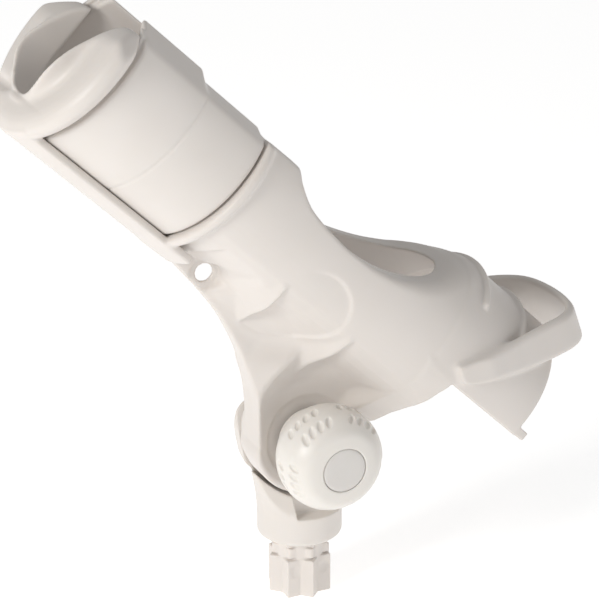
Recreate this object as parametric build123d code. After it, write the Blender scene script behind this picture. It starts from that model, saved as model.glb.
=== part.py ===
from build123d import *
from math import sin, cos, radians, sqrt, pi
import os

os.makedirs("parts", exist_ok=True)

# ---------------------------------------------------------------------------
# Tilting open-cradle holder for a fishing rod, millimetres, +Z up.
# Origin: centre of the flat seat face under the base, where the star plug
# enters its port.  X runs along the rod (front/mouth is -X), the knob is on -Y.
# ---------------------------------------------------------------------------

# cradle tube: axis lies in the XZ plane, rising towards the mouth (-X)
TILT = 44.0          # tube axis above horizontal
AXIS_Q = 99.1        # distance of the tube axis from the origin
R_OUT = 39.5         # outer radius of the tube moulding
R_BORE = 29.0        # clear radius for the rod butt
R_TAIL = 35.0        # relieved radius inside the tail
S_TAIL = -30.0       # tail end, measured along the axis
S_REAR = 155.4       # face behind the collar
S_FRONT = 226.2      # face in front of the collar
R_SPINE = 42.7       # outer radius of the bottom spine
SPINE_HALF = 28.0    # half angle of the spine, degrees

U_R, U_N = 21.4, -5.0   # front trough: half width and height of its centre

# locking collar
COLLAR_R = 38.5
COLLAR_RI = 29.6
COLLAR_S0, COLLAR_S1 = 156.0, 225.6
SLOT_HALF = 13.5     # half width of the rod slot
GROOVE_R0, GROOVE_R1 = 32.6, 35.9
TONGUE_R0, TONGUE_R1 = 32.95, 35.55
GROOVE_D, TONGUE_D = 2.8, 1.9

# tilt joint
PIVOT_Z = 48.0
EAR_R = 24.5
RIM_R = 26.2
EAR_Y0, EAR_Y1 = -6.0, 10.0      # body ear, near and far faces
RIM_Y = -10.0
BASE_EAR_R = 23.6
BASE_EAR_Y0, BASE_EAR_Y1 = 10.4, 17.0
BOSS_R, BOSS_Y = 13.0, 20.5
BOLT_R = 4.0
BUSH_RI, BUSH_RO = 4.05, 6.5
SPRING_R, SPRING_WIRE = 7.0, 1.1
SPRING_POCKET_R = 8.2
TEETH = 24
TOOTH_H = 1.0
TOOTH_R0, TOOTH_R1 = 10.5, 19.5

# knob
BALL_Y, BALL_R = -30.2, 22.9
HUB_R, HUB_Y = 14.2, -8.2
CAP_Y, CAP_R = -45.6, 9.85

# base and plug
BASE_R = 18.8
PLUG_BOTTOM = -28.0
PLUG_R = 14.75

c, s_ = cos(radians(TILT)), sin(radians(TILT))
TUBE = Plane(origin=(AXIS_Q * s_, 0, AXIS_Q * c), x_dir=(-c, 0, s_), z_dir=(s_, 0, c))
# local frame of the tube: x = along the axis to the mouth, z = up and normal to it


def world(shape):
    return TUBE.location * shape


def cyl_x(r, a, b):
    return Pos((a + b) / 2, 0, 0) * Cylinder(r, b - a, rotation=(0, 90, 0))


def cyl_y(r, y0, y1, x=0.0, z=PIVOT_Z):
    return Pos(x, (y0 + y1) / 2, z) * Cylinder(r, y1 - y0, rotation=(90, 0, 0))


def box(x0, x1, y0, y1, z0, z1):
    return Pos((x0 + x1) / 2, (y0 + y1) / 2, (z0 + z1) / 2) * Box(x1 - x0, y1 - y0, z1 - z0)


def slab_xz(points, y0, y1, closed_spline=None):
    """Prism whose outline is given in the XZ plane, between two Y values."""
    face = Plane.XZ * make_face(Polyline(*points, close=True))
    return Pos(0, y1, 0) * extrude(face, amount=y1 - y0)      # XZ normal is -Y


def smooth(points, n=6):
    """Points of a spline through the given points."""
    e = Spline(*[(p[0], p[1]) for p in points])
    k = (len(points) - 1) * n
    return [((e @ (i / k)).X, (e @ (i / k)).Y) for i in range(k + 1)]


def sector_x(r0, r1, a, b, deg_from_bottom):
    """Ring sector about the tube axis, symmetric about the bottom."""
    ring = cyl_x(r1, a, b) - cyl_x(r0, a - 1, b + 1)
    w = radians(deg_from_bottom)
    L = 90
    wedge = Plane.YZ * make_face(Polyline((0, 0), (L * sin(w), -L * cos(w)), (0, -L * 1.6), (-L * sin(w), -L * cos(w)), close=True))
    wedge = Pos(a - 1, 0, 0) * extrude(wedge, amount=(b - a) + 2)
    return ring & wedge


def one(shape):
    """Largest solid of a shape."""
    sol = sorted(shape.solids(), key=lambda q: q.volume)
    return sol[-1]


# ------------------------------------------------------------------ body ----
# side outline of the mouth of the tube, (s, N): what stays is below it
saddle = smooth([(137.6, 20.8), (131.8, 16.3), (123.2, 11.6), (108.0, 9.2), (96.8, 8.4), (82.5, 9.8),
                 (68.0, 13.2), (54.4, 18.4), (44.5, 24.3), (38.5, 29.5), (33.0, 34.4), (26.5, 39.2), (21.0, 44.0)], 4)
cut_top = slab_xz([(156.5, 20.8)] + saddle + [(21.0, 60), (156.5, 60)], -60, 60)

# section of the tube with the web below it
web_half = 4.6
sec = Plane.YZ * (Circle(R_OUT) + Pos(0, -70) * Rectangle(2 * web_half, 120))
face = sec.faces()[0] if len(sec.faces()) == 1 else sec
j = [v for v in face.vertices() if abs(abs(v.Y) - web_half) < 0.2 and -40 < v.Z < -38]
face = fillet(j, 17)
belly = Pos(14.0, 0, 0) * extrude(face, amount=S_REAR - 14.0)
tail = cyl_x(R_OUT, S_TAIL, 14.5) - box(S_TAIL - 1, 14.0, -60, 60, -60, -7.6)
body_l = belly + tail

# side outline of the web and leg in the tube frame
def to_local(x, z):
    return (-c * x + s_ * z, s_ * x + c * z - AXIS_Q)

leg_left = smooth([(-66.5, 145.2), (-60.2, 138.0), (-49.3, 124.2), (-40.4, 112.0), (-33.0, 98.2), (-27.8, 84.6),
                   (-25.6, 74.0), (-24.6, 62.0), (-24.4, 48.0)], 4)
left_l = [to_local(*p) for p in leg_left]
keep = slab_xz([(S_TAIL - 5, 60), (S_REAR + 5, 60), (S_REAR + 5, -41.9)] + left_l + [to_local(0, 48), (14.0, -47.0), (14.0, -42.0), (14.0, -39.6), (S_TAIL - 5, -39.6)], -60, 60)
body_l = body_l & keep

# cross ribs that carry the tube's flanks down to the web
def rib(sc, t, tip_n, tip_y, low_n, low_y):
    pts = [(-tip_y, tip_n), (-low_y, low_n), (low_y, low_n), (tip_y, tip_n)]
    f = Plane.YZ * make_face(Polyline(*pts, close=True))
    return Pos(sc - t / 2, 0, 0) * extrude(f, amount=t)

body_l += rib(107.5, 5.0, -21.5, 33.0, -44.0, 8.0)
body_l += rib(63.5, 5.0, -20.3, 33.8, -43.5, 12.5)
body_l += rib(16.5, 5.0, -7.6, 39.0, -41.5, 11.5)

# rear lip bead around the tube next to the collar
bead = Plane.XZ * (Pos(152.2, 38.9) * Circle(3.2))
bead = revolve(bead, Axis.X, 360)
body_l += bead - box(140, 160, -60, 60, 20.8, 60)

# spine under the collar, running on to the front ring
spine = sector_x(39.0, R_SPINE, 140.0, 233.0, SPINE_HALF)
body_l += spine

# front ring: heavy rounded bead and a thin open lip in front of it
prof = [(S_FRONT, 0.0), (S_FRONT, 38.8), (227.2, 40.6), (228.8, 42.3), (231.0, 43.4), (233.6, 43.4), (235.6, 42.4), (237.6, 40.4),
        (238.9, 37.6), (239.6, 34.4), (240.0, 30.0), (240.0, 0.0)]
ring = revolve(Plane.XZ * make_face(Polyline(*prof, close=True)), Axis.X, 360)


def trough(r, a, b):
    """U-shaped prism, open upwards, for the rod's way out of the front ring."""
    face = Plane.YZ * (Pos(0, U_N) * Circle(r) + Pos(0, U_N + 40) * Rectangle(2 * r, 80))
    return Pos(a, 0, 0) * extrude(face, amount=b - a)


ring = ring + trough(U_R + 2.4, S_FRONT, 249.5)
front_line = smooth([(229.5, 20.3), (233.6, 16.6), (238.0, 10.4), (242.4, 3.2), (246.2, -5.5), (247.6, -14.5), (245.6, -22.0)], 4)
ring_keep = slab_xz([(220, -60), (220, 20.3)] + front_line + [(242.5, -26.5), (243.8, -32.0), (243.8, -60)], -60, 60)
ring = ring & ring_keep
notch = slab_xz([(260, -21.5), (246.4, -21.5), (237.6, -27.6), (238.6, -30.2), (260, -33)], -11, 11)
ring = ring - notch
ring = ring - trough(U_R, S_FRONT - 5, 262)
body_l += ring

# bore, relieved tail and saddle
body_l = body_l - cyl_x(R_BORE, S_TAIL - 5, S_FRONT)
body_l = body_l - cyl_x(R_TAIL, S_TAIL - 5, 24.0)
body_l = body_l - cut_top
# grooves that guide the collar
groove = cyl_x(GROOVE_R1, S_REAR - GROOVE_D, S_REAR + 0.5) - cyl_x(GROOVE_R0, S_REAR - GROOVE_D - 1, S_REAR + 1)
groove += cyl_x(GROOVE_R1, S_FRONT - 0.5, S_FRONT + GROOVE_D) - cyl_x(GROOVE_R0, S_FRONT - 1, S_FRONT + GROOVE_D + 1)
body_l = body_l - groove
# the tube is open across the collar bay except for the spine
bay = (cyl_x(60, S_REAR, S_FRONT) - sector_x(39.0, 70, S_REAR - 1, S_FRONT + 1, SPINE_HALF))
body_l = body_l - (bay & box(S_REAR, S_FRONT, -60, 60, -60, 60))

# ribs over the tail and the two end tabs
for sc, half in ((18.3, 47.0), (-8.0, 62.0)):
    r = cyl_x(41.3, sc - 1.6, sc + 1.6) - cyl_x(38.0, sc - 3, sc + 3)
    w = radians(half)
    L = 90
    wd = Plane.YZ * make_face(Polyline((0, 0), (L * sin(w), L * cos(w)), (0, L * 1.6), (-L * sin(w), L * cos(w)), close=True))
    wd = Pos(sc - 3, 0, 0) * extrude(wd, amount=6)
    body_l += (r & wd)
for sy in (-1, 1):
    body_l += box(S_TAIL - 5.2, S_TAIL + 1.0, min(sy * 35.2, sy * 39.3), max(sy * 35.2, sy * 39.3), -7.6, -3.4)

body = world(body_l)

# ear, leg pad and rim around the tilt joint
pad_outline = smooth([(-33.6, 99.6), (-27.8, 84.6), (-25.6, 74.0), (-24.6, 62.0), (-24.3, 48.0)], 4)
pad = slab_xz(pad_outline + [(-4.0, 48.0), (-4.0, 78.0), (0.0, 88.0), (-4.0, 94.5), (-16, 103.5)], RIM_Y, EAR_Y1)
ear = cyl_y(EAR_R, EAR_Y0, EAR_Y1)
body = body + ear + pad
rim = cyl_y(RIM_R, RIM_Y, EAR_Y0 + 2)
rim = rim & box(-40, -1.0, -20, 10, 20, 90)
body = body + rim
# recess for the knob hub, with its bright rim left standing on the leg side
body = body - cyl_y(22.2, -20, EAR_Y0)
body = body - slab_xz([(-15.6, 64), (-12.5, 71), (-2.5, 79.0), (14, 63.5), (29, 48.5), (10, 40), (-10, 48)], -20, EAR_Y0)
# keep the joint's circle clear of the base
low_cut = cyl_y(80, -60, 60) - cyl_y(EAR_R + 1.8, -61, 61)
low_cut = low_cut & box(-80, 80, -60, 60, -20, 47.0)
body = body - low_cut
# lanyard hole through the web
body = body - cyl_y(4.0, -30, 30, x=-44.3, z=129.3)
for sy in (-1, 1):
    body = body - cyl_y(6.5, min(sy * 4.6, sy * 40), max(sy * 4.6, sy * 40), x=-44.3, z=129.3)
# far face: ring recess with face teeth, spring pocket, bush bore
body = body - (cyl_y(TOOTH_R1 + 0.8, EAR_Y1 - 2.0, EAR_Y1 + 1) - cyl_y(TOOTH_R0 - 0.8, EAR_Y1 - 3, EAR_Y1 + 2))
def teeth(y_root, direction):
    out = None
    n = TEETH
    for i in range(n):
        a0 = 360.0 / n * i
        h = TOOTH_H * direction
        w = 2 * pi * TOOTH_R1 / n * 0.46
        w0 = 2 * pi * TOOTH_R0 / n * 0.46
        f1 = Wire.make_polygon([(TOOTH_R0, y_root, -w0), (TOOTH_R0, y_root, w0), (TOOTH_R0, y_root + h, 0)])
        f2 = Wire.make_polygon([(TOOTH_R1, y_root, -w), (TOOTH_R1, y_root, w), (TOOTH_R1, y_root + h, 0)])
        t = Solid.make_loft([f1, f2], True)
        t = Pos(0, 0, PIVOT_Z) * (Rot(0, a0, 0) * t)
        out = t if out is None else out + t
    return out
body = body + teeth(EAR_Y1 - 2.02, 1)
body = body - cyl_y(SPRING_POCKET_R, 3.6, EAR_Y1 + 1)
body = body - cyl_y(BUSH_RO, -30, 3.7)
holder_body = one(body)

# ------------------------------------------------------------------ hoop ----
def hexa(a, b):
    return Solid.make_loft([Wire.make_polygon(a), Wire.make_polygon(b)], True)

T_ = 4.2
x0t, z0t, x0b, z0b = 57.5, 85.3, 61.5, 74.2       # roots, top and bottom edge
x1t, z1t, x1b, z1b = 126.2, 92.6, 132.0, 76.5     # corners
Y0, Y1 = 41.2, 24.5
hoop = None
for sy in (-1, 1):
    a = [(x0t, sy * Y0, z0t), (x0b, sy * Y0, z0b), (x0b, sy * (Y0 - T_), z0b), (x0t, sy * (Y0 - T_), z0t)]
    b = [(x1t, sy * Y1, z1t), (x1b, sy * Y1, z1b), (x1b, sy * (Y1 - T_), z1b), (x1t, sy * (Y1 - T_), z1t)]
    arm = hexa(a, b)
    hoop = arm if hoop is None else hoop + arm
bar_a = [(x1t - 2.0, -Y1, z1t), (x1b - 2.0, -Y1, z1b), (x1b + 2.6, -Y1, z1b + 0.6), (x1t + 2.6, -Y1, z1t + 0.6)]
bar_b = [(p[0], -p[1], p[2]) for p in bar_a]
hoop = hoop + hexa(bar_a, bar_b)
hoop = hoop - holder_body
# drop what would lie inside the tube
hoop = hoop - world(cyl_x(R_OUT - 0.001, S_TAIL - 10, 60))
tail_hoop = one(hoop)

# ---------------------------------------------------------------- collar ----
col = cyl_x(COLLAR_R, COLLAR_S0, COLLAR_S1)
col += cyl_x(TONGUE_R1, COLLAR_S0 - TONGUE_D, COLLAR_S1 + TONGUE_D) - cyl_x(TONGUE_R0, COLLAR_S0 - TONGUE_D - 1, COLLAR_S1 + TONGUE_D + 1)
top1 = [(-60, 18.6), (-33.8, 18.6), (-13.5, 24.2), (13.5, 24.2), (33.8, 18.6), (60, 18.6), (60, 60), (-60, 60)]
top2 = [(-60, 18.6), (-33.8, 18.6), (-13.5, 27.4), (13.5, 27.4), (33.8, 18.6), (60, 18.6), (60, 60), (-60, 60)]
col = col - (Pos(150, 0, 0) * extrude(Plane.YZ * make_face(Polyline(*top1, close=True)), amount=41.0))
col = col - (Pos(191, 0, 0) * extrude(Plane.YZ * make_face(Polyline(*top2, close=True)), amount=42.0))
col = col - cyl_x(COLLAR_RI, 140, 240)
col = col - box(140, 240, -SLOT_HALF, SLOT_HALF, 0, 60)
locking_collar = one(world(col))

# ------------------------------------------------------------------ base ----
out_pts = [(-BASE_R, 0), (-BASE_R, 6), (-23.4, 42), (-22.0, 60), (22.0, 60), (23.4, 42), (BASE_R, 6), (BASE_R, 0)]
col_base = Pos(0, 0, 6.5) * Cylinder(BASE_R, 13)
upper = slab_xz([(-BASE_R, 0), (-BASE_R, 6), (-23.4, 46), (23.4, 46), (BASE_R, 6), (BASE_R, 0)], -11.0, BASE_EAR_Y1)
upper = upper & (Pos(0, 0, 24) * Cone(BASE_R + 0.2, 29.0, 48))
ear_b = cyl_y(BASE_EAR_R, BASE_EAR_Y0, BASE_EAR_Y1) + cyl_y(BOSS_R, BASE_EAR_Y0, BOSS_Y)
cheek = box(-34, -8.6, -18.0, -11.2, 2, 36.6)
cheek = cheek & slab_xz([(-34, 2), (-4, 2), (-4, 60), (-34, 60)], -18.0, -11.2)
cheek = cheek & (Pos(0, 0, 24) * Cone(BASE_R + 0.2, 36.0, 48))
base = col_base + upper + ear_b + cheek
base = base - (cyl_y(EAR_R + 2.6, -11.2, BASE_EAR_Y0) & box(-60, 60, -12, 30, 10, 90))
base = base - (Pos(0, BALL_Y, PIVOT_Z) * Sphere(BALL_R + 0.7)) - cyl_y(HUB_R + 0.8, -30, -7.0)            # room for the knob
base = base - slab_xz([(-8.5, 13.4), (40, 13.4), (40, 90), (-8.5, 90)], -30, -10.9)
base = base - (box(-60, 60, -30, BASE_EAR_Y0, 46, 95))
# face teeth, spring pocket, bolt hole and the pocket for its head
base = base + teeth(BASE_EAR_Y0 + 0.02, -1)
base = base - cyl_y(SPRING_POCKET_R, BASE_EAR_Y0 - 3, 12.6)
base = base - cyl_y(BOLT_R, -60, 60)
head = extrude(Plane(origin=(0, 15.0, PIVOT_Z), x_dir=(1, 0, 0), z_dir=(0, 1, 0)) * RegularPolygon(7.5, 6), amount=8)
base = base - head
# socket for the plug's spigot and its screw pilot
base = base - Pos(0, 0, 3.0) * Cylinder(9.0, 6.0)
base = base - Pos(0, 0, 0.2) * Cylinder(14.9, 0.8)
base = base - Pos(0, 0, 11.0) * Cylinder(2.6, 14.0)
tilt_base = one(base)

# ------------------------------------------------------------------ plug ----
def star(r_tip, z0, z1, half=None):
    side = r_tip * sqrt(2)
    p = Pos(0, 0, (z0 + z1) / 2) * Box(side, side, z1 - z0)
    return p + Rot(0, 0, 45) * p

plug = Pos(0, 0, 2.9) * Cylinder(8.9, 5.8)
plug += star(PLUG_R - 0.15, -3.0, 0.6)
plug += star(PLUG_R - 1.0, -8.0, -4.2) & (Pos(0, 0, -6.6) * Cylinder(13.2, 8.0))
plug += Pos(0, 0, -4.0) * Cylinder(11.4, 4.0)
plug += Pos(0, 0, -6.6) * Cylinder(11.0, 3.0)
plug += star(PLUG_R, PLUG_BOTTOM, -8.0) & (Pos(0, 0, -18) * Cylinder(PLUG_R - 0.25, 20.0))
plug = plug - Pos(0, 0, -19.4) * Cylinder(5.6, 21.2) - Pos(0, 0, 0) * Cylinder(2.65, 60)
plug = plug - Pos(0, 0, -26.5) * Cylinder(8.2, 3.2)
star_plug = one(plug)

plug_washer = Pos(0, 0, -9.4) * (Cylinder(5.2, 1.2) - Cylinder(2.7, 3))
scr = Pos(0, 0, -11.9) * Cylinder(4.6, 3.8)
scr += Pos(0, 0, 2.5) * Cylinder(2.6, 25.0)
scr = scr - Pos(0, 0, -12.8) * extrude(RegularPolygon(2.0, 6), amount=-2)
plug_screw = one(scr)

# ----------------------------------------------------------- pivot stack ----
bolt = cyl_y(BOLT_R, -29.6, 16.0) + extrude(Plane(origin=(0, 15.0, PIVOT_Z), x_dir=(1, 0, 0), z_dir=(0, 1, 0)) * RegularPolygon(7.5, 6), amount=4.6)
bolt = bolt - (cyl_y(5.2, -28.4, -27.2) - cyl_y(3.2, -29, -27))
pivot_bolt = one(bolt)
stop_clip = cyl_y(6.6, -28.3, -27.3) - cyl_y(3.2, -30, -26) - box(-2.2, 2.2, -30, -26, PIVOT_Z - 10, PIVOT_Z)
stop_clip = one(stop_clip)
cov = cyl_y(BOSS_R, BOSS_Y, BOSS_Y + 2.4)
ce = cov.edges().filter_by(GeomType.CIRCLE).sort_by(Axis.Y)[-1]
cov = fillet([ce], 1.6)
bolt_cover = one(cov)
pivot_bush = cyl_y(BUSH_RO, EAR_Y0, 3.6) - cyl_y(BUSH_RI, -20, 20)
thrust_washer = cyl_y(12.0, -7.8, -6.2) - cyl_y(BOLT_R + 0.06, -20, 20)
h_spring = 12.5 - 3.7 - SPRING_WIRE
hx = Helix(pitch=h_spring / 3.5, height=h_spring, radius=SPRING_R)
hx = Pos(0, 3.7 + SPRING_WIRE / 2, PIVOT_Z) * (Rot(-90, 0, 0) * hx)
sec_s = Plane(origin=hx @ 0, z_dir=hx % 0) * Circle(SPRING_WIRE / 2)
release_spring = one(sweep(sec_s, path=hx))

# ------------------------------------------------------------------ knob ----
# half profile of the knob: (distance from its axis, y)
kp = [(0, HUB_Y), (HUB_R - 0.6, HUB_Y), (HUB_R, HUB_Y - 0.6), (HUB_R, -13.6)]
ball = [(sqrt(max(BALL_R ** 2 - (y - BALL_Y) ** 2, 0)), y) for y in (-13.8, -15.2, -17.2, -19.6, -22.4, -25.6, -29.0, -32.4, -35.6)]
kp += ball + [(20.9, -38.6), (18.4, -41.4), (15.2, -43.6), (12.2, -44.9), (10.9, -45.3), (10.9, -45.9), (0, -45.9)]
prof_k = Plane.XY * make_face(Polyline(*kp, close=True))
shell = Pos(0, 0, PIVOT_Z) * revolve(prof_k, Axis.Y, 360)
shell = shell - cyl_y(CAP_R + 0.0, -60, -43.2)
shell = shell - cyl_y(8.6, -43.3, -24.6)
shell = shell - cyl_y(8.0, -24.7, -12.4)
shell = shell - cyl_y(BOLT_R + 0.3, -30, 0)
knob_shell = one(shell)
ins = cyl_y(8.0, -24.6, -12.4) - cyl_y(BOLT_R + 0.06, -60, 0)
knob_insert = one(ins)
kc = cyl_y(CAP_R, CAP_Y, -43.2)
ke = kc.edges().filter_by(GeomType.CIRCLE).sort_by(Axis.Y)[0]
kc = fillet([ke], 0.8)
knob_cap = one(kc)

nodes = dict(holder_body=holder_body, tail_hoop=tail_hoop, locking_collar=locking_collar, tilt_base=tilt_base,
             star_plug=star_plug, plug_washer=plug_washer, plug_screw=plug_screw, pivot_bolt=pivot_bolt,
             stop_clip=stop_clip, bolt_cover=bolt_cover, pivot_bush=pivot_bush, thrust_washer=thrust_washer,
             release_spring=release_spring, knob_shell=knob_shell, knob_insert=knob_insert, knob_cap=knob_cap)
for name, shape in nodes.items():
    export_step(shape, "parts/" + name + ".step")
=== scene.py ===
import math
import bpy
import numpy as np
from mathutils import Vector, Matrix


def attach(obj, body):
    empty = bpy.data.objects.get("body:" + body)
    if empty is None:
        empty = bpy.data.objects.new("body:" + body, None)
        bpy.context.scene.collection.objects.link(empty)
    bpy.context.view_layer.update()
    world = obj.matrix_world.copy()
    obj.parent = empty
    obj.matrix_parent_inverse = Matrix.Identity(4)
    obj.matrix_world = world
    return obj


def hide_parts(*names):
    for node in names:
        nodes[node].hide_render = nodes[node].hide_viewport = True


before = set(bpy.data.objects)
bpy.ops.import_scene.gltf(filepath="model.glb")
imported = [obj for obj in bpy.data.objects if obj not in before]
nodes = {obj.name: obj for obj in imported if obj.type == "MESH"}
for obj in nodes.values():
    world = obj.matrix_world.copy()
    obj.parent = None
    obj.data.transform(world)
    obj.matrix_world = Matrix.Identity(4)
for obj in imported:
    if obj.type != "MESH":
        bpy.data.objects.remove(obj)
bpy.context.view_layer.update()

F4 = np.float32

# ------------------------------------------------------------ dimensions (mm)
TILT = math.radians(44.0)
CT, ST = math.cos(TILT), math.sin(TILT)
AXIS_Q = 99.1
PIV_Z = 48.0
PIV_S, PIV_N = ST * PIV_Z, CT * PIV_Z - AXIS_Q      # pivot in the tube frame


def to_local(x, z):
    return (-CT * x + ST * z, ST * x + CT * z - AXIS_Q)


# ------------------------------------------------------------ field tools
def smin(a, b, k):
    h = np.clip(0.5 + 0.5 * (b - a) / k, 0.0, 1.0)
    return b + (a - b) * h - k * h * (1.0 - h)


def smax(a, b, k):
    return -smin(-a, -b, k)


def poly(P, A, B):
    """Signed distance to a closed outline, negative inside."""
    P = np.asarray(P, float)
    best = np.full(np.broadcast(A, B).shape, 1e9)
    inside = np.zeros(best.shape, bool)
    n = len(P)
    for i in range(n):
        x0, y0 = P[i]
        x1, y1 = P[(i + 1) % n]
        ex, ey = x1 - x0, y1 - y0
        L = ex * ex + ey * ey
        if L < 1e-12:
            continue
        t = np.clip(((A - x0) * ex + (B - y0) * ey) / L, 0, 1)
        d = (A - x0 - t * ex) ** 2 + (B - y0 - t * ey) ** 2
        best = np.minimum(best, d)
        if y0 != y1:
            c = ((y0 <= B) != (y1 <= B)) & (A < (B - y0) / (y1 - y0) * ex + x0)
            inside ^= c
    d = np.sqrt(best)
    return np.where(inside, -d, d).astype(F4)


def path_dist(P, A, B):
    P = np.asarray(P, float)
    best = np.full(np.broadcast(A, B).shape, 1e9, F4)
    for i in range(len(P) - 1):
        x0, y0 = P[i]
        ex, ey = P[i + 1] - P[i]
        L = ex * ex + ey * ey
        t = np.clip(((A - x0) * ex + (B - y0) * ey) / L, 0, 1)
        best = np.minimum(best, (A - x0 - t * ex) ** 2 + (B - y0 - t * ey) ** 2)
    return np.sqrt(best).astype(F4)


def curve(points, n=8):
    """Smooth line through points."""
    P = np.asarray(points, float)
    Q = np.vstack([2 * P[0] - P[1], P, 2 * P[-1] - P[-2]])
    out = []
    for i in range(1, len(Q) - 2):
        for k in range(n):
            t = k / n
            a, b, c, d = Q[i - 1], Q[i], Q[i + 1], Q[i + 2]
            out.append(0.5 * ((2 * b) + (c - a) * t + (2 * a - 5 * b + 4 * c - d) * t * t + (3 * b - a - 3 * c + d) * t ** 3))
    out.append(P[-1])
    return [tuple(p) for p in out]


def nets(F, org, h):
    """Quad surface of F = 0."""
    ins = F < 0
    c = np.zeros(tuple(n - 1 for n in F.shape), np.uint8)
    corners = [(i, j, k) for i in (0, 1) for j in (0, 1) for k in (0, 1)]
    for i, j, k in corners:
        c += ins[i:F.shape[0] - 1 + i, j:F.shape[1] - 1 + j, k:F.shape[2] - 1 + k]
    act = (c > 0) & (c < 8)
    ijk = np.argwhere(act)
    idx = np.full(act.shape, -1, np.int64)
    idx[act] = np.arange(len(ijk))
    acc = np.zeros((len(ijk), 3))
    cnt = np.zeros(len(ijk))
    for a in corners:
        for ax in range(3):
            if a[ax]:
                continue
            b = list(a)
            b[ax] = 1
            fa = F[ijk[:, 0] + a[0], ijk[:, 1] + a[1], ijk[:, 2] + a[2]]
            fb = F[ijk[:, 0] + b[0], ijk[:, 1] + b[1], ijk[:, 2] + b[2]]
            m = (fa < 0) != (fb < 0)
            t = fa[m] / (fa[m] - fb[m])
            p = np.tile(np.array(a, float), (m.sum(), 1))
            p[:, ax] = t
            acc[m] += p
            cnt[m] += 1
    v = ijk + acc / cnt[:, None]
    quads = []
    for ax in range(3):
        o1, o2 = (ax + 1) % 3, (ax + 2) % 3
        lo = [slice(None)] * 3
        hi = [slice(None)] * 3
        lo[ax] = slice(0, -1)
        hi[ax] = slice(1, None)
        x = ins[tuple(lo)] != ins[tuple(hi)]
        e = np.argwhere(x)
        e = e[(e[:, o1] > 0) & (e[:, o2] > 0) & (e[:, o1] < F.shape[o1] - 1) & (e[:, o2] < F.shape[o2] - 1)]
        first = ins[e[:, 0], e[:, 1], e[:, 2]]
        def cell(d1, d2):
            q = e.copy()
            q[:, o1] += d1
            q[:, o2] += d2
            return idx[q[:, 0], q[:, 1], q[:, 2]]
        q = np.stack([cell(-1, -1), cell(0, -1), cell(0, 0), cell(-1, 0)], 1)
        q[~first] = q[~first][:, ::-1]
        quads.append(q)
    quads = np.vstack(quads)
    quads = quads[(quads >= 0).all(1)]
    # settle the points onto the surface
    def sample(p):
        p = np.clip(p, 0, np.array(F.shape) - 1.001)
        i = p.astype(int)
        f = p - i
        r = 0
        for a, b, d in corners:
            w = (f[:, 0] if a else 1 - f[:, 0]) * (f[:, 1] if b else 1 - f[:, 1]) * (f[:, 2] if d else 1 - f[:, 2])
            r = r + w * F[i[:, 0] + a, i[:, 1] + b, i[:, 2] + d]
        return r
    for _ in range(3):
        # relax along the surface, then project
        s = np.zeros_like(v)
        n = np.zeros(len(v))
        for a, b in ((0, 1), (1, 2), (2, 3), (3, 0)):
            np.add.at(s, quads[:, a], v[quads[:, b]])
            np.add.at(n, quads[:, a], 1)
            np.add.at(s, quads[:, b], v[quads[:, a]])
            np.add.at(n, quads[:, b], 1)
        n[n == 0] = 1
        v = v * 0.5 + (s / n[:, None]) * 0.5
        for _k in range(2):
            f0 = sample(v)
            g = np.stack([(sample(v + d) - sample(v - d)) for d in np.eye(3) * 0.5], 1)
            g2 = (g ** 2).sum(1)
            step = g * (f0 / np.maximum(g2, 1e-3))[:, None]
            L = np.linalg.norm(step, axis=1)
            step *= np.minimum(1, 0.6 / np.maximum(L, 1e-9))[:, None]
            v = v - step
    return v * h + np.array(org), quads


def piece(name, verts_mm, faces, mat, body, replaces=(), smooth=True):
    me = bpy.data.meshes.new(name)
    me.from_pydata((np.asarray(verts_mm) * 0.001).tolist(), [], np.asarray(faces).tolist() if not isinstance(faces, list) else faces)
    me.validate()
    me.polygons.foreach_set("use_smooth", [smooth] * len(me.polygons))
    me.update()
    ob = bpy.data.objects.new(name, me)
    bpy.context.scene.collection.objects.link(ob)
    me.materials.append(mat)
    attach(ob, body)
    if replaces:
        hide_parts(*replaces)
    return ob


def world_verts(v):
    s, y, n = v[:, 0], v[:, 1], v[:, 2]
    N = n + AXIS_Q
    return np.stack([-CT * s + ST * N, y, ST * s + CT * N], 1)


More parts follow.
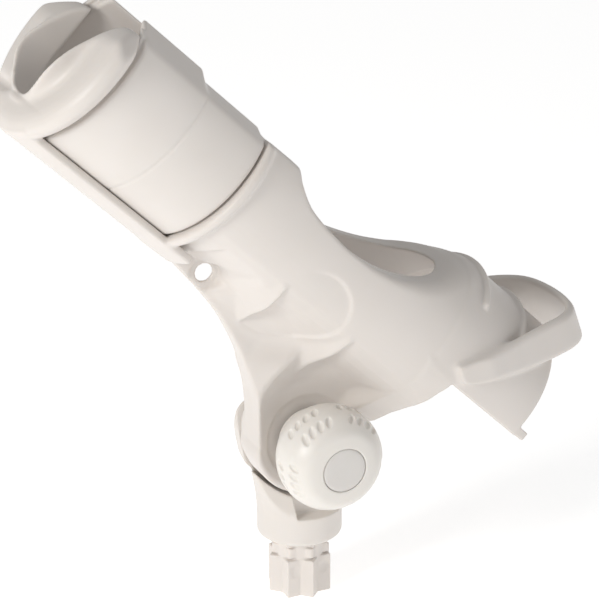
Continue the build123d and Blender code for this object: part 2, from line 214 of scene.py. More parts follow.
# ------------------------------------------------------------ materials
def plastic(name, col, rough=0.36, seed=0.0, grain=0.03):
    m = bpy.data.materials.new(name)
    m.use_nodes = True
    nt = m.node_tree
    b = nt.nodes["Principled BSDF"]
    b.inputs["Base Color"].default_value = (*col, 1)
    b.inputs["Roughness"].default_value = rough
    b.inputs["IOR"].default_value = 1.46
    b.inputs["Subsurface Weight"].default_value = 0.12
    b.inputs["Subsurface Radius"].default_value = (1.0, 0.8, 0.6)
    b.inputs["Subsurface Scale"].default_value = 0.002
    tc = nt.nodes.new("ShaderNodeTexCoord")
    n1 = nt.nodes.new("ShaderNodeTexNoise")
    n1.inputs["Scale"].default_value = 22 + seed
    n1.inputs["Detail"].default_value = 4
    ramp = nt.nodes.new("ShaderNodeValToRGB")
    ramp.color_ramp.elements[0].position = 0.3
    ramp.color_ramp.elements[1].position = 0.75
    ramp.color_ramp.elements[0].color = (col[0] * 0.975, col[1] * 0.972, col[2] * 0.962, 1)
    ramp.color_ramp.elements[1].color = (min(1, col[0] * 1.02), min(1, col[1] * 1.02), min(1, col[2] * 1.02), 1)
    nt.links.new(tc.outputs["Object"], n1.inputs["Vector"])
    nt.links.new(n1.outputs["Fac"], ramp.inputs["Fac"])
    nt.links.new(ramp.outputs["Color"], b.inputs["Base Color"])
    n2 = nt.nodes.new("ShaderNodeTexNoise")
    n2.inputs["Scale"].default_value = 1500
    n2.inputs["Detail"].default_value = 3
    n3 = nt.nodes.new("ShaderNodeTexNoise")
    n3.inputs["Scale"].default_value = 60
    n3.inputs["Detail"].default_value = 2
    nt.links.new(tc.outputs["Object"], n2.inputs["Vector"])
    nt.links.new(tc.outputs["Object"], n3.inputs["Vector"])
    bump = nt.nodes.new("ShaderNodeBump")
    bump.inputs["Strength"].default_value = grain
    bump.inputs["Distance"].default_value = 0.0003
    nt.links.new(n2.outputs["Fac"], bump.inputs["Height"])
    nt.links.new(bump.outputs["Normal"], b.inputs["Normal"])
    mr = nt.nodes.new("ShaderNodeMapRange")
    mr.inputs["To Min"].default_value = rough - 0.05
    mr.inputs["To Max"].default_value = rough + 0.07
    nt.links.new(n3.outputs["Fac"], mr.inputs["Value"])
    nt.links.new(mr.outputs["Result"], b.inputs["Roughness"])
    return m


def metal(name, col, rough, stretch=(1, 40, 1)):
    m = bpy.data.materials.new(name)
    m.use_nodes = True
    nt = m.node_tree
    b = nt.nodes["Principled BSDF"]
    b.inputs["Metallic"].default_value = 1.0
    b.inputs["Base Color"].default_value = (*col, 1)
    tc = nt.nodes.new("ShaderNodeTexCoord")
    mp = nt.nodes.new("ShaderNodeMapping")
    mp.inputs["Scale"].default_value = stretch
    n1 = nt.nodes.new("ShaderNodeTexNoise")
    n1.inputs["Scale"].default_value = 220
    n1.inputs["Detail"].default_value = 3
    mr = nt.nodes.new("ShaderNodeMapRange")
    mr.inputs["To Min"].default_value = rough - 0.08
    mr.inputs["To Max"].default_value = rough + 0.12
    nt.links.new(tc.outputs["Object"], mp.inputs["Vector"])
    nt.links.new(mp.outputs["Vector"], n1.inputs["Vector"])
    nt.links.new(n1.outputs["Fac"], mr.inputs["Value"])
    nt.links.new(mr.outputs["Result"], b.inputs["Roughness"])
    bump = nt.nodes.new("ShaderNodeBump")
    bump.inputs["Strength"].default_value = 0.08
    bump.inputs["Distance"].default_value = 0.0002
    nt.links.new(n1.outputs["Fac"], bump.inputs["Height"])
    nt.links.new(bump.outputs["Normal"], b.inputs["Normal"])
    return m


IVORY = (0.71, 0.668, 0.635)
mat_body = plastic("ivory_body", IVORY, 0.40, 0)
mat_collar = plastic("ivory_collar", (0.72, 0.68, 0.648), 0.38, 3)
mat_base = plastic("ivory_base", (0.74, 0.70, 0.665), 0.40, 5)
mat_plug = plastic("ivory_plug", (0.73, 0.685, 0.65), 0.42, 7)
# painted highlight: the knob is the same ivory plastic, given a lighter colour so the ball reads as brightly lit
mat_knob_painted_highlight = plastic("ivory_knob", (0.785, 0.755, 0.715), 0.34, 9)
# painted shade: the cap disc is the same ivory plastic, given a darker colour so its face reads as shaded
mat_cap_painted_shade = plastic("ivory_cap_painted_shade", (0.69, 0.665, 0.64), 0.38, 10)
mat_steel = metal("stainless", (0.62, 0.62, 0.63), 0.30)
mat_brass = metal("turned_brass", (0.78, 0.58, 0.27), 0.28)
mat_bush = plastic("bearing_plastic", (0.05, 0.05, 0.055), 0.45, 11)


# ------------------------------------------------------------ holder body
def build_body(h):
    s1 = np.arange(-52, 254, h)
    y1 = np.arange(-47.2, 47.3, h)
    n1 = np.arange(-93, 60, h)
    S2, N2 = np.meshgrid(s1, n1, indexing="ij")          # side view
    Y2, M2 = np.meshgrid(y1, n1, indexing="ij")          # section
    S = s1[:, None, None].astype(F4)
    Y = y1[None, :, None].astype(F4)
    N = n1[None, None, :].astype(F4)
    A = np.abs(Y)
    R = np.sqrt(Y * Y + N * N)                            # (1, ny, nn)
    side = lambda P: poly(P, S2, N2)[:, None, :]
    sect = lambda P: poly(P, Y2, M2)[None, :, :]
    rr = np.arange(0, 110, 0.4)

    def lathe(P):
        G = poly(P, *np.meshgrid(s1, rr, indexing="ij"))
        i = np.clip(R[0] / 0.4, 0, len(rr) - 2)
        k = i.astype(int)
        f = (i - k).astype(F4)
        return G[:, k] * (1 - f) + G[:, k + 1] * f

    # tube: round flanks, drawn in below towards the web; a shallow step bounds the side panel
    circ = np.sqrt((S2 - 92) ** 2 + (N2 + 24) ** 2)
    step = 1.15 * np.clip((20.0 - circ) / 0.9 + 0.5, 0, 1) * np.clip((106 - S2) / 16, 0, 1)
    r0 = 39.6
    arc = [(r0 * math.sin(math.radians(t)), r0 * math.cos(math.radians(t))) for t in range(0, 124, 4)]
    half = arc + [(29.6, -24.8), (25.0, -28.0), (19.0, -31.0), (12.0, -34.0), (5.0, -37.5)]
    sec = [(a, b) for a, b in half] + [(-a, b) for a, b in half[::-1]]
    belly = sect(sec) + step[:, None, :].astype(F4)
    belly = smax(smax(belly, S - 155.6, 1.5), 14.0 - S, 1.2)
    tail = smax(smax(R - 39.9, S - 30.0, 1.5), -30.2 - S, 1.6)
    tail = smax(tail, -7.6 - N, 1.0)
    # web and leg
    left_w = [(-70.0, 149.5), (-61.0, 138.0), (-50.1, 124.4), (-41.2, 112.4), (-33.7, 98.6), (-28.4, 85.4), (-25.6, 75.0), (-24.4, 66.0), (-24.0, 57.0), (-24.0, 48.0)]
    left_l = [to_local(*p) for p in curve(left_w)]
    out_web = [(150.0, 0.0), (150.0, -42.0)] + left_l + [(PIV_S, PIV_N), (12.6, -46.5), (12.4, -41.6), (15.4, -12.0), (16.8, 0.0)]
    thick = 2.3 + 4.0 * np.clip((112 - S2) / 46, 0, 1)
    web = smax(A - thick[:, None, :].astype(F4), side(out_web), 2.0)
    f = smin(belly, web, 12.0)
    f = smax(f, smin((A - 2.4 - 2.8 * np.maximum(N + 34.2, 0) - 1.2 * np.maximum(116 - S, 0) - 4 * np.maximum(S - 138, 0)) * 0.6, R - 33.0, 1.0), 2.0)
    f = smax(f, 13.6 - S, 1.0)
    big = [(156.0, 60.0), (156.0, -42.4), (147.0, -42.4)] + left_l[6:] + [(PIV_S - 10, PIV_N - 60), (-20, -100), (-20, 60)]
    sbig = side(big)
    f = smax(f, sbig, 2.0)

    # cross ribs keep the round outline down to the web; steep behind, sloping in front
    def rib(low, s0, slope, width, lean):
        SL = S - lean * (N + 20.0)
        rr2 = lambda t: 37.6 if t < 114 else (40.3 if t > 121 else 37.6 + 2.7 * (t - 114) / 7)
        arc2 = [(rr2(t) * math.sin(math.radians(t)), rr2(t) * math.cos(math.radians(t))) for t in range(100, 146, 3)]
        hp = [(0, -6)] + arc2 + low
        P = hp + [(-a, b) for a, b in hp[::-1][:-1]]
        g = sect(P)
        front = g + slope * np.maximum(SL - s0, 0)
        r = smax(front, (s0 - width) - SL, 0.8)
        return smax(r, sbig, 1.5)
    f = smin(f, rib([(13.0, -38.5), (9.0, -41.4), (5.5, -43.2), (0, -43.4)], 108.0, 0.62, 1.6, 0.48), 1.2)
    f = smin(f, rib([(17.0, -37.2), (13.6, -39.6), (10.6, -42.2), (7.5, -44.6), (4.0, -46.6), (0, -47.2)], 66.0, 0.72, 1.6, 0.236), 1.2)
    # flange along the lower edge
    pl = -(0.1645 * (S - 18) + 0.7586 * (38.6 - A) + 0.6302 * (N + 10.6)) + 1.3 * np.maximum(S - 27, 0)
    pl = smax(pl, 13.6 - S, 1.0)
    pl = smax(pl, R - 39.6 - 40 * np.clip((-22 - N) / 12, 0, 1), 1.0)
    pl = smax(pl, S - 48, 2.0)
    low = side([(13.0, -8.0), (12.0, -46.8), (22.0, -58.0), (48, -58), (60, -40), (60, 0)])
    pl = smax(pl, low, 1.5)
    f = smin(f, pl, 2.4)

    # ear, and the raised rim that wraps the front of the joint
    d2 = np.sqrt((S2 - PIV_S) ** 2 + (N2 - PIV_N) ** 2).astype(F4)
    d_piv = d2[:, None, :]
    ear = smax(smax(d_piv - 24.6, -6.4 - Y, 1.0), Y - 9.9, 1.0)
    f = smin(f, ear, 3.0)
    X2 = (-CT * S2 + ST * (N2 + AXIS_Q)).astype(F4)
    Z2 = (ST * S2 + CT * (N2 + AXIS_Q)).astype(F4)
    ridge_w = curve([(-3.4, 96.0), (-10.5, 88.6), (-18.0, 80.6), (-22.8, 73.6), (-25.2, 66.0), (-26.0, 57.0), (-25.6, 48.0), (-23.6, 40.2), (-19.8, 33.6), (-14.6, 28.6), (-7.6, 25.2), (0.0, 24.0), (8.0, 25.4)])
    rd = path_dist(ridge_w, X2, Z2)[:, None, :]
    top_y = 6.6 + (4.2 * np.clip((100 - Z2) / 12, 0, 1) + 2.6 * np.exp(-((Z2 - 87.0) / 8.0) ** 2))[:, None, :]
    # a ridge: crest near y = -12, long slope to the left edge, short one into the recess
    drop = 0.8 * np.maximum(rd - 1.2, 0)
    ridge = smax((-(Y + top_y) + drop) * 0.66, Y - 3.0, 1.0)
    ridge = smax(ridge, rd - 9.0, 2.0)
    pad_w = [(-33.4, 98.6), (-28.4, 85.4), (-26.0, 75.0), (-25.6, 66.0), (-26.2, 57.0), (-26.2, 48.0), (-24.4, 40.0), (-20.4, 31.2), (-14.6, 25.4), (-7.0, 22.0), (6.0, 21.8), (12.0, 26.0), (8, 34), (0, 48), (0, 84), (3, 98), (-14, 104)]
    ridge = smax(ridge, poly([to_local(*p) for p in pad_w], S2, N2)[:, None, :], 1.5)
    f = smin(f, ridge.astype(F4), 6.0)
    f = smax(f, sbig, 1.5)
    # room for the knob's hub
    f = smax(f, -smax(d_piv - 18.5, Y + 6.4, 2.0), 2.0)
    # room for the base under the ear, and a flat far face beside the base's ear
    low_z = (Z2 - 47.0)[:, None, :]
    f = smax(f, -smax(smax(25.4 - d_piv, low_z - 4.0, 1.0), d_piv - 70, 1.0), 1.0)
    f = smax(f, -smax(d_piv - 25.6, 9.95 - Y, 0.4), 0.8)

    # bead behind the collar
    lift = np.clip((19.0 - N) / 14, 0, 1)
    bead = np.sqrt((S - 153.3) ** 2 + (R - 38.6 - 0.7 * lift) ** 2) - 2.25 - 0.35 * lift
    bead = smax(bead, N - 20.4, 1.5)
    bead = smax(bead, S - 155.6, 0.8)
    f = smin(f, bead, 1.2)
    # spine
    ang = np.arctan2(np.broadcast_to(A, R.shape), -N)
    wedge = (np.sin(np.minimum(ang - math.radians(28.0), math.radians(90))) * R).astype(F4)
    spine = smax(smax(R - 42.6, 38.8 - R, 0.8), wedge, 0.8)
    spine = smax(spine, 140.0 - S, 2.0)
    spine = smax(spine, S - 236.0, 2.0)
    f = smin(f, spine, 2.4)

    # hoop behind the tail
    i1 = int(np.searchsorted(s1, 34))
    Xb, Zb = X2[:i1], Z2[:i1]
    d1 = np.array([0.9976, 0.070])
    w1 = np.array([0.335, -0.942])
    det = d1[0] * w1[1] - d1[1] * w1[0]
    dx, dz = Xb - 59.5, Zb - 79.7
    a = ((dx * w1[1] - dz * w1[0]) / det).astype(F4)[:, None, :]
    w = ((d1[0] * dz - d1[1] * dx) / det).astype(F4)[:, None, :]
    hp = [(-2.0, 41.0), (8, 40.8), (22, 38.0), (38, 33.6), (50, 29.8), (58.0, 26.6), (64.0, 22.0), (67.2, 16.6), (68.8, 10.0), (69.5, 4.0), (69.6, 0.0)]
    full = curve([(p[0], -p[1]) for p in hp] + [(p[0], p[1]) for p in hp[::-1][1:]], 3)
    pd = path_dist(full, np.broadcast_to(a, (i1, len(y1), len(n1))), np.broadcast_to(Y, (i1, len(y1), len(n1))))
    halfw = 5.0 + 4.0 * np.clip(a / 44.0, 0, 1) ** 0.8
    deep = 9.0 * np.clip(Y / 8.0, 0, 1) * np.clip(a / 12.0, 0, 1)
    band = smax(pd - 2.1 - 1.6 * np.clip(1 - a / 30.0, 0, 1), np.maximum(-w - halfw, w - halfw - deep), 3.0)
    band = smax(band, -3.4 - a, 4.0)
    band = smax(band, Xb[:, None, :] - 134.2, 1.5)

    # ribs over the tail
    for s0, half_deg, rb0 in ((18.4, 45.5, 1.9), (-8.0, 60.0, 1.75)):
        hd = math.radians(half_deg)
        up = np.arctan2(np.broadcast_to(A, R.shape), N)
        along = np.maximum(up - hd, 0) * 40.0
        rb = np.sqrt((S - s0) ** 2 + (R - 40.1) ** 2 + along ** 2) - rb0
        tail = smin(tail, rb.astype(F4), 1.0)
    foot = np.maximum(np.maximum(np.abs(S + 32.2) - 3.2, np.abs(N + 5.2) - 2.1), np.abs(A - 37.4) - 2.1)
    tail = smin(tail, foot, 1.0)
    f = smin(f, tail, 1.0)

    # saddle opening with its broad rounded lip, then the bore, then the collar bay
    sad = curve([(153.1, 20.9), (138.2, 20.9), (135.0, 19.6), (131.6, 16.3), (123.2, 11.6), (113.1, 9.4), (107.8, 8.9), (96.8, 8.0), (82.5, 9.0), (68.0, 12.2), (54.4, 17.6), (44.5, 23.4), (39.2, 28.0), (33.4, 33.0), (28.2, 37.0), (23.0, 42.5)], 4)
    cut = side([(159.0, 20.9)] + sad + [(23.0, 70), (159.0, 70)])
    lip = 1.6 + 3.6 * np.clip((92 - S) / 40, 0, 1)
    f = smax(f, -cut, lip)
    bore = smax(R - 29.0, 24.0 - S, 1.0)
    relief = smax(R - 35.4, S - 24.0, 1.5)
    f = smax(f, -smin(bore, relief, 1.0), 0.9)
    bay_out = smax(smax(155.4 - S, S - 227.2, 0.5), -smax(smax(wedge, 38.75 - R, 0.4), R - 60, 1), 0.5)
    f = smax(f, -bay_out, 0.8)

    # front ring: a heavy bead, scooped in to a thin U-shaped lip
    prof = [(227.3, 0.0), (227.3, 38.2), (228.2, 39.7), (229.4, 41.2), (230.9, 42.4), (232.4, 42.9), (234.0, 42.6), (235.6, 41.6), (236.8, 40.1), (237.8, 38.2), (238.4, 36.0), (238.8, 33.0), (238.8, 0.0)]
    ring = lathe(prof)
    U = np.sqrt((Y * np.where(Y > 0, 1.10, 1.0)) ** 2 + np.minimum(N + 5.0, 0) ** 2) - 21.4
    lipw = smax(smax(U - 1.9, 227.3 - S, 0.4), S - 252.0, 0.5)
    ring = smin(ring, lipw, 4.5)
    ring = smax(ring, 227.3 - S, 0.6)
    fl = curve([(228.6, 20.2), (232.4, 18.4), (236.6, 13.6), (240.6, 6.6), (244.3, -1.5), (246.2, -9.0), (245.8, -15.5), (243.4, -21.5), (240.4, -26.0), (239.0, -27.6)])
    keep = side([(220, -60), (220, 20.2)] + fl + [(240.6, -29.5), (241.6, -33.0), (239.6, -37.6), (241.0, -60)])
    ring = smax(ring, keep + 2.6 * np.clip((Y - 6) / 10, 0, 1), 1.4)
    ring = smax(ring, (N - 20.6 + 0.9 * np.maximum(A - 29.0, 0) + 3.0 * np.clip((Y - 22) / 8, 0, 1) + 0 * S) * 0.75, 2.0)
    ring = smax(ring, -U, 1.6)
    f = smin(f, ring, 0.5)
    f = smax(f, -smax(smax(155.4 - S, S - 227.2, 0.4), R - 38.75, 0.4), 0.5)
    # hoop joins the tail
    fb = smin(f[:i1], smax(band, -(R - 35.4), 1.0), 2.4)
    f = np.concatenate([fb, f[i1:]], 0)
    # lanyard hole
    hs, hn = to_local(-44.3, 129.3)
    dh = np.sqrt((S2 - hs) ** 2 + (N2 - hn) ** 2).astype(F4)[:, None, :]
    f = smax(f, -smax(dh - 6.4, 1.5 - A, 1.2), 1.8)
    f = smax(f, -(dh - 4.05), 0.5)
    f = smax(f, A - 43.2, 0.5)
    v, q = nets(np.ascontiguousarray(f, F4), (s1[0], y1[0], n1[0]), h)
    return v, q


HB = 0.8
v, q = build_body(HB)
body = piece("cradle_shell", world_verts(v), q, mat_body, "holder", ("holder_body", "tail_hoop"))


# ------------------------------------------------------------ locking collar
def build_collar(h):
    s1 = np.arange(151, 231, h)
    y1 = np.arange(-40.4, 40.5, h)
    n1 = np.arange(-40.4, 29.5, h)
    S = s1[:, None, None].astype(F4)
    Y = y1[None, :, None].astype(F4)
    N = n1[None, None, :].astype(F4)
    A = np.abs(Y)
    R = np.sqrt(Y * Y + N * N)
    f = smax(smax(R - 38.5, S - 225.6, 2.0), 156.0 - S, 2.0)
    # flat facets beside the slot; the front half stands a little higher
    drop = 2.6 * np.clip((191.5 - S) / 3.0, 0, 1)
    m = (27.2 - 18.7) / (33.7 - 15.5)
    fac = (N - (18.7 + (33.7 - A) * m) + drop * np.clip((33.7 - A) / 18, 0, 1)) / math.sqrt(1 + m * m)
    f = smax(f, fac.astype(F4), 1.4)
    f = smax(f, -(R - 29.6), 1.6)
    f = smax(f, -smax(A - 15.2, -N, 1.0), 3.4)
    # parting line round the middle
    groove = np.sqrt((S - 190.2) ** 2 + ((R - 38.7) * 1.0) ** 2) - 0.6
    f = smax(f, -groove.astype(F4), 0.25)
    # guide tongues
    for a, b in ((154.1, 157.5), (224.0, 227.5)):
        t = smax(smax(R - 35.5, 33.0 - R, 0.5), smax(S - b, a - S, 0.5), 0.5)
        t = smax(t, -smax(A - 15.2, -N, 1.0), 1.0)
        t = smax(t, fac.astype(F4), 1.0)
        f = smin(f, t, 0.3)
    return nets(np.ascontiguousarray(f, F4), (s1[0], y1[0], n1[0]), h)


v, q = build_collar(0.6)
collar = piece("turning_collar", world_verts(v), q, mat_collar, "collar", ("locking_collar",))


# ------------------------------------------------------------ base
def build_base(h):
    x1 = np.arange(-30, 30.1, h)
    y1 = np.arange(-21, 22, h)
    z1 = np.arange(-1.6, 75, h)
    X = x1[:, None, None].astype(F4)
    Y = y1[None, :, None].astype(F4)
    Z = z1[None, None, :].astype(F4)
    RR = np.sqrt(X * X + Y * Y)
    P = np.sqrt(X * X + (Z - PIV_Z) ** 2)
    rad = np.interp(z1, [-2, 0, 12, 18, 26, 34, 42, 50, 60], [18.8, 18.8, 18.8, 19.3, 20.6, 22.3, 24.0, 25.2, 25.8])[None, None, :].astype(F4)
    cup = smax(smax(RR - rad, Z - 47.5, 1.0), -Z, 2.2)
    # far ear: outline in the XZ plane
    out = [(-18.8, 2.0), (-18.8, 12.0)] + [(-w, z) for z, w in ((18, 18.8), (26, 20.2), (34, 22.0), (42, 23.7), (48, 24.4))] \
        + [(24.4 * math.cos(math.radians(t)), PIV_Z + 24.4 * math.sin(math.radians(t))) for t in range(175, 0, -6)] \
        + [(24.4, 48), (23.7, 42), (22.0, 34), (20.2, 26), (18.8, 18), (18.8, 12), (18.8, 2.0)]
    X2, Z2 = np.meshgrid(x1, z1, indexing="ij")
    o = poly(out, X2, Z2)[:, None, :]
    ear = smax(smax(o, 10.4 - Y, 0.8), Y - 16.8, 2.0)
    ear = smax(ear, RR - rad - 9.0 * np.clip((Z - 28.0) / 14.0, 0, 1), 1.0)
    boss = smax(smax(P - 13.0, Y - 20.5, 1.2), 8.0 - Y, 1.0)
    f = smin(cup, ear, 1.2)
    f = smax(f, Y - 17.2 + 0 * X, 1.6)
    f = smax(f, -smax(smax(P - 27.1, -11.4 - Y, 0.8), Y - 10.4, 0.8), 0.9)
    f = smin(f, boss, 1.5)
    # slanted near face
    bevel = -(0.369 * (X + 8.3) + 0.786 * (Y + 16.9) - 0.499 * (Z - 15.2))
    f = smax(f, smin(bevel, -8.4 - X, 0.4), 0.7)
    # pocket on the right, and the cheek's top edge
    f = smax(f, -smax(smax(-8.6 - X, 13.2 - Z, 1.0), Y + 11.0, 0.8), 0.8)
    f = smax(f, smin(Z - 36.6, -Y - 10.6, 0.8), 0.8)
    sph = np.sqrt(X * X + (Y + 30.2) ** 2 + (Z - PIV_Z) ** 2) - 23.6
    f = smax(f, -smin(sph, smax(P - 15.0, Y + 7.0, 0.5), 1.0), 0.8)
    f = smax(f, -smax(smax(P - 80, Y - 10.4, 0.5), 44.0 - Z, 0.8), 0.8)
    # bolt hole, head pocket, spigot socket
    f = smax(f, -smin(P - 4.0, smax(P - 8.2, Y - 12.6, 0.3), 0.3), 0.4)
    f = smax(f, -smax(P - 8.9, 14.95 - Y, 0.3), 0.4)
    f = smax(f, -smax(RR - 9.0, Z - 6.0, 0.3), 0.4)
    f = smax(f, -smax(RR - 2.7, Z - 18.0, 0.3), 0.3)
    return nets(np.ascontiguousarray(np.broadcast_to(f, (len(x1), len(y1), len(z1))), F4), (x1[0], y1[0], z1[0]), h)


v, q = build_base(0.5)
base = piece("flared_base", v, q, mat_base, "base", ("tilt_base",))


# ------------------------------------------------------------ star plug
def build_plug(h):
    x1 = np.arange(-15.6, 15.7, h)
    z1 = np.arange(-29.2, 7.2, h)
    X = x1[:, None, None].astype(F4)
    Y = x1[None, :, None].astype(F4)
    Z = z1[None, None, :].astype(F4)
    RR = np.sqrt(X * X + Y * Y)
    def star(r):
        a = r / math.sqrt(2)
        return np.minimum(np.maximum(abs(X), abs(Y)) - a, (abs(X) + abs(Y)) / math.sqrt(2) - a)
    top = smax(smax(star(14.6), Z + 0.05, 0.3), -3.1 - Z, 0.5)
    neck = smax(smax(RR - 11.4, Z + 0.5, 0.3), -12 - Z, 0.5)
    mid = smax(smax(star(13.8), Z + 4.2, 0.6), -9.0 - Z, 0.5)
    mid = smax(mid, RR - 13.2, 0.6)
    low = smax(smax(star(14.75), Z + 9.9, 0.6), -27.97 - Z, 1.0)
    f = smin(smin(top, neck, 0.5), smin(mid, low, 0.4), 0.4)
    spig = smax(smax(RR - 8.9, Z - 5.8, 0.6), -2 - Z, 0.3)
    f = smin(f, spig, 0.3)
    f = smax(f, -smax(RR - 5.6, Z + 8.8, 0.3), 0.5)
    f = smax(f, -smax(RR - 8.2, Z + 24.9, 0.3), 0.8)
    f = smax(f, -(RR - 2.65 + 0 * Z), 0.3)
    # shallow oval on the near faces
    for sx, sy in ((0, -1),):
        for k in (-1, 1):
            oval = np.sqrt(((X - k * 6.6) / 2.3) ** 2 + ((Z + 15.6) / 2.9) ** 2 + ((Y + 10.45) / 0.5) ** 2) - 1
            f = smax(f, -(oval * 0.5), 0.2)
    return nets(np.ascontiguousarray(f, F4), (x1[0], x1[0], z1[0]), h)


v, q = build_plug(0.32)
plug = piece("star_foot", v, q, mat_plug, "base", ("star_plug",))


# ------------------------------------------------------------ knob
def build_knob(h):
    x1 = np.arange(-24.2, 24.3, h)
    y1 = np.arange(-47.5, -7.0, h)
    X = x1[:, None, None].astype(F4)
    Y = y1[None, :, None].astype(F4)
    Zr = x1[None, None, :].astype(F4)                     # z - pivot
    P = np.sqrt(X * X + Zr * Zr)
    ball = np.sqrt(P ** 2 + (Y + 30.2) ** 2) - 22.9
    # flattened nose
    nose = (Y + 45.7) * -1.0
    cone = (P * 0.55 - (Y + 45.9) * 0.835 - 9.2)
    f = smax(smax(ball, nose, 1.6), cone, 5.0)
    hub = smax(smax(P - 14.2, Y + 8.25, 1.0), -20 - Y, 1.0)
    f = smin(f, hub, 2.4)
    # finger dimples, slanted, in five groups and two rows
    for g in range(5):
        for i in range(4):
            for row, (dy, half_len, dep) in enumerate(((-8.8, 3.2, 1.35), (0.4, 3.0, 1.3))):
                t = math.radians((58, 122, 194, 266, 338)[g] + (i - 1.5) * 11.6 + (2.6 if row else -2.6))
                rho = math.sqrt(22.9 ** 2 - dy ** 2)
                c = np.array([rho * math.cos(t), -30.2 + dy, rho * math.sin(t)])
                nrm = np.array([c[0], dy, c[2]]) / 22.9
                circ = np.array([-math.sin(t), 0, math.cos(t)])
                mer = np.cross(nrm, circ)
                al = math.radians(24)
                L = mer * math.cos(al) + circ * math.sin(al)
                W = np.cross(nrm, L)
                b0 = [max(0, int((c[k] - [x1[0], y1[0], x1[0]][k] - 5) / h)) for k in range(3)]
                b1 = [int((c[k] - [x1[0], y1[0], x1[0]][k] + 5) / h) + 1 for k in range(3)]
                sl = tuple(slice(b0[k], b1[k]) for k in range(3))
                dx, dyy, dz = X[sl[0]] - c[0], Y[:, sl[1]] - c[1], Zr[:, :, sl[2]] - c[2]
                u1 = dx * L[0] + dyy * L[1] + dz * L[2]
                u2 = dx * W[0] + dyy * W[1] + dz * W[2]
                u3 = dx * nrm[0] + dyy * nrm[1] + dz * nrm[2]
                e = np.sqrt((u1 / half_len) ** 2 + (u2 / 1.45) ** 2 + (u3 / dep) ** 2) - 1
                f[sl] = smax(f[sl], -(e * dep).astype(F4), 0.25)
    # cap seat, clearance round the bolt, insert pocket
    f = smax(f, -smax(P - 9.95, Y + 43.2, 0.2), 0.35)
    f = smax(f, -smax(smax(P - 8.6, Y + 24.6, 0.3), -43.4 - Y, 0.3), 0.3)
    f = smax(f, -smax(smax(P - 8.0, Y + 12.4, 0.3), -25 - Y, 0.3), 0.3)
    f = smax(f, -(P - 4.3 + 0 * Y), 0.3)
    return nets(np.ascontiguousarray(f, F4), (x1[0], y1[0], x1[0] + PIV_Z), h)


v, q = build_knob(0.36)
knob = piece("ball_knob", v, q, mat_knob_painted_highlight, "knob", ("knob_shell",))


def lathe_y(name, prof, mat, body_name, repl, seg=96):
    """prof: (radius, y) from the axis outwards and back to the axis."""
    vs, fs = [], []
    rings = []
    for r, y in prof:
        if r < 1e-6:
            rings.append([len(vs)])
            vs.append((0, y, PIV_Z))
        else:
            ids = []
            for i in range(seg):
                a = 2 * math.pi * i / seg
                ids.append(len(vs))
                vs.append((r * math.cos(a), y, PIV_Z + r * math.sin(a)))
            rings.append(ids)
    for a, b in zip(rings, rings[1:]):
        for i in range(seg):
            j = (i + 1) % seg
            if len(a) == 1:
                fs.append((a[0], b[i], b[j]))
            elif len(b) == 1:
                fs.append((a[i], b[0], a[j]))
            else:
                fs.append((a[i], b[i], b[j], a[j]))
    ob = piece(name, np.array(vs), fs, mat, body_name, repl)
    return ob


cap = lathe_y("knob_cap_disc", [(0, -45.87), (3, -45.86), (6, -45.82), (8.2, -45.72), (9.0, -45.62), (9.5, -45.4), (9.8, -45.0), (9.9, -44.5), (9.9, -43.22), (0, -43.22)],
              mat_cap_painted_shade, "knob", ("knob_cap",))
cover = lathe_y("bolt_cover_disc", [(0, 20.5), (12.4, 20.5), (12.95, 20.9), (12.95, 21.4), (12.5, 22.1), (11.6, 22.6), (9.5, 22.82), (5, 22.88), (0, 22.9)],
                mat_base, "base", ("bolt_cover",))

# CAD nodes that stay
for n, m in (("plug_washer", mat_steel), ("plug_screw", mat_steel), ("pivot_bolt", mat_steel), ("stop_clip", mat_steel), ("thrust_washer", mat_steel),
             ("release_spring", mat_steel), ("pivot_bush", mat_bush), ("knob_insert", mat_brass)):
    o = nodes[n]
    o.data.materials.clear()
    o.data.materials.append(m)

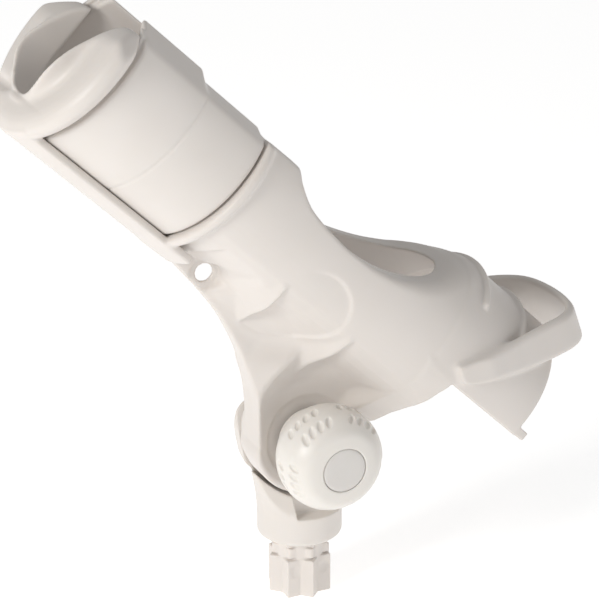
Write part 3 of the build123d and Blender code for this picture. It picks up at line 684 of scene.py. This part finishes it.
# ------------------------------------------------------------ stage
me = bpy.data.meshes.new("floor")
me.from_pydata([(-4, -4, -0.0281), (4, -4, -0.0281), (4, 4, -0.0281), (-4, 4, -0.0281)], [], [(0, 1, 2, 3)])
floor = bpy.data.objects.new("floor", me)
bpy.context.scene.collection.objects.link(floor)
fm = bpy.data.materials.new("pale_floor")
fm.use_nodes = True
fb = fm.node_tree.nodes["Principled BSDF"]
fb.inputs["Base Color"].default_value = (0.93, 0.93, 0.935, 1)
fb.inputs["Roughness"].default_value = 0.9
fb.inputs["Specular IOR Level"].default_value = 0.1
fb.inputs["Emission Color"].default_value = (1, 1, 1, 1)
fb.inputs["Emission Strength"].default_value = 0.55
me.materials.append(fm)

scene = bpy.context.scene
w = bpy.data.worlds.new("studio")
scene.world = w
w.use_nodes = True
bg = w.node_tree.nodes["Background"]
bg.inputs["Color"].default_value = (1.0, 0.995, 0.985, 1)
bg.inputs["Strength"].default_value = 0.41
scene.view_settings.view_transform = "Standard"
scene.view_settings.exposure = 0.0


def area(name, loc, target, size, power, col=(1, 1, 1)):
    l = bpy.data.lights.new(name, "AREA")
    l.shape = "RECTANGLE"
    l.size, l.size_y = size
    l.energy = power
    l.color = col
    o = bpy.data.objects.new(name, l)
    o.location = loc
    d = Vector(target) - Vector(loc)
    o.rotation_euler = d.to_track_quat("-Z", "Y").to_euler()
    scene.collection.objects.link(o)
    return o


T = (0.0, 0.0, 0.11)
area("key", (-1.28, -0.42, 0.66), T, (0.36, 0.40), 9.4, (1, 0.985, 0.955))
area("front", (0.80, -1.15, 0.10), T, (0.9, 0.7), 2.7, (1, 0.99, 0.98))

# ------------------------------------------------------------ camera
az, el, dist = math.radians(-25), math.radians(22), 1.11151
tgt = Vector((0.00008, 0, 0.10903))
D = Vector((math.sin(az) * math.cos(el), -math.cos(az) * math.cos(el), math.sin(el)))
cam = bpy.data.cameras.new("cam")
cam.sensor_fit = "VERTICAL"
cam.sensor_height = 36.0
cam.lens = 2600.0 / 600.0 * 36.0
cam.clip_end = 50
co = bpy.data.objects.new("cam", cam)
co.location = tgt + D * dist
co.rotation_euler = (-D).to_track_quat("-Z", "Y").to_euler()
scene.collection.objects.link(co)
scene.camera = co

bpy.context.view_layer.update()
